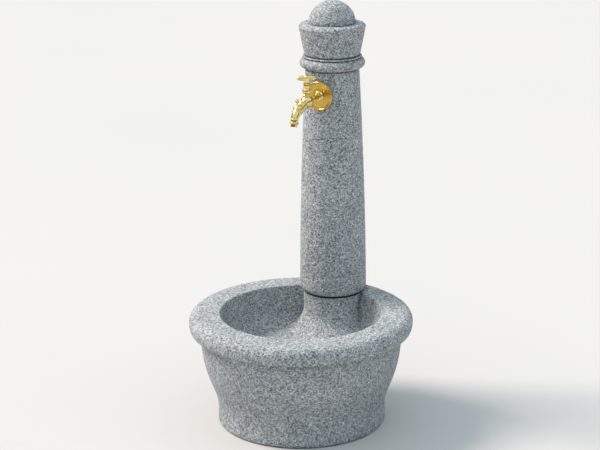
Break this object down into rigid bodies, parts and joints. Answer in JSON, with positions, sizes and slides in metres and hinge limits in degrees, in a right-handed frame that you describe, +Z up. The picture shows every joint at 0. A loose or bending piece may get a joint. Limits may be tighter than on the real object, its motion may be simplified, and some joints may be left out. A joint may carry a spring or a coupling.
{
  "type": "stone garden fountain",
  "caption": "Round stone basin with a tapered column on its rear edge, a turned head with a domed cap, and a brass garden tap that pours into the bowl.",
  "frame": {"origin": "centre of the basin's underside, on the ground", "axes": "+Z up; -Y is the front, where the tap pours; the column stands towards +Y; X is from side to side"},
  "size_m": [0.55, 0.55, 1.0168],
  "materials": {
    "stone": "matte",
    "mortar": "matte",
    "brass": "polished",
    "satin_brass": "satin"
  },
  "bodies": {
    "fountain": {"basin": "stone", "drain_flange": "satin_brass", "drain_strainer": "satin_brass", "setting_bed": "mortar", "column_shaft": "stone", "collar_ring": "stone", "neck_ring": "stone", "capital": "stone", "dome_cap": "stone", "tap_rosette_seal": "mortar", "tap_rosette": "satin_brass", "tap_wall_boss": "brass", "tap_inlet_pipe": "brass", "tap_inlet_ring": "brass", "tap_body": "brass", "tap_spout_ring": "brass", "tap_spout": "brass", "tap_nozzle": "brass", "tap_spout_finial": "brass", "tap_bonnet": "brass", "tap_gland_nut": "brass"},
    "tap_key": {"tap_spindle": "brass", "tap_handle": "brass", "tap_handle_screw": "brass"}
  },
  "joints": [
    {"name": "tap_handle_turn", "type": "hinge", "parent": "fountain", "child": "tap_key", "pos_m": [0, 0.04042, 0.84], "axis": [0, 0, 1], "range_deg": [0, 540]}
  ]
}
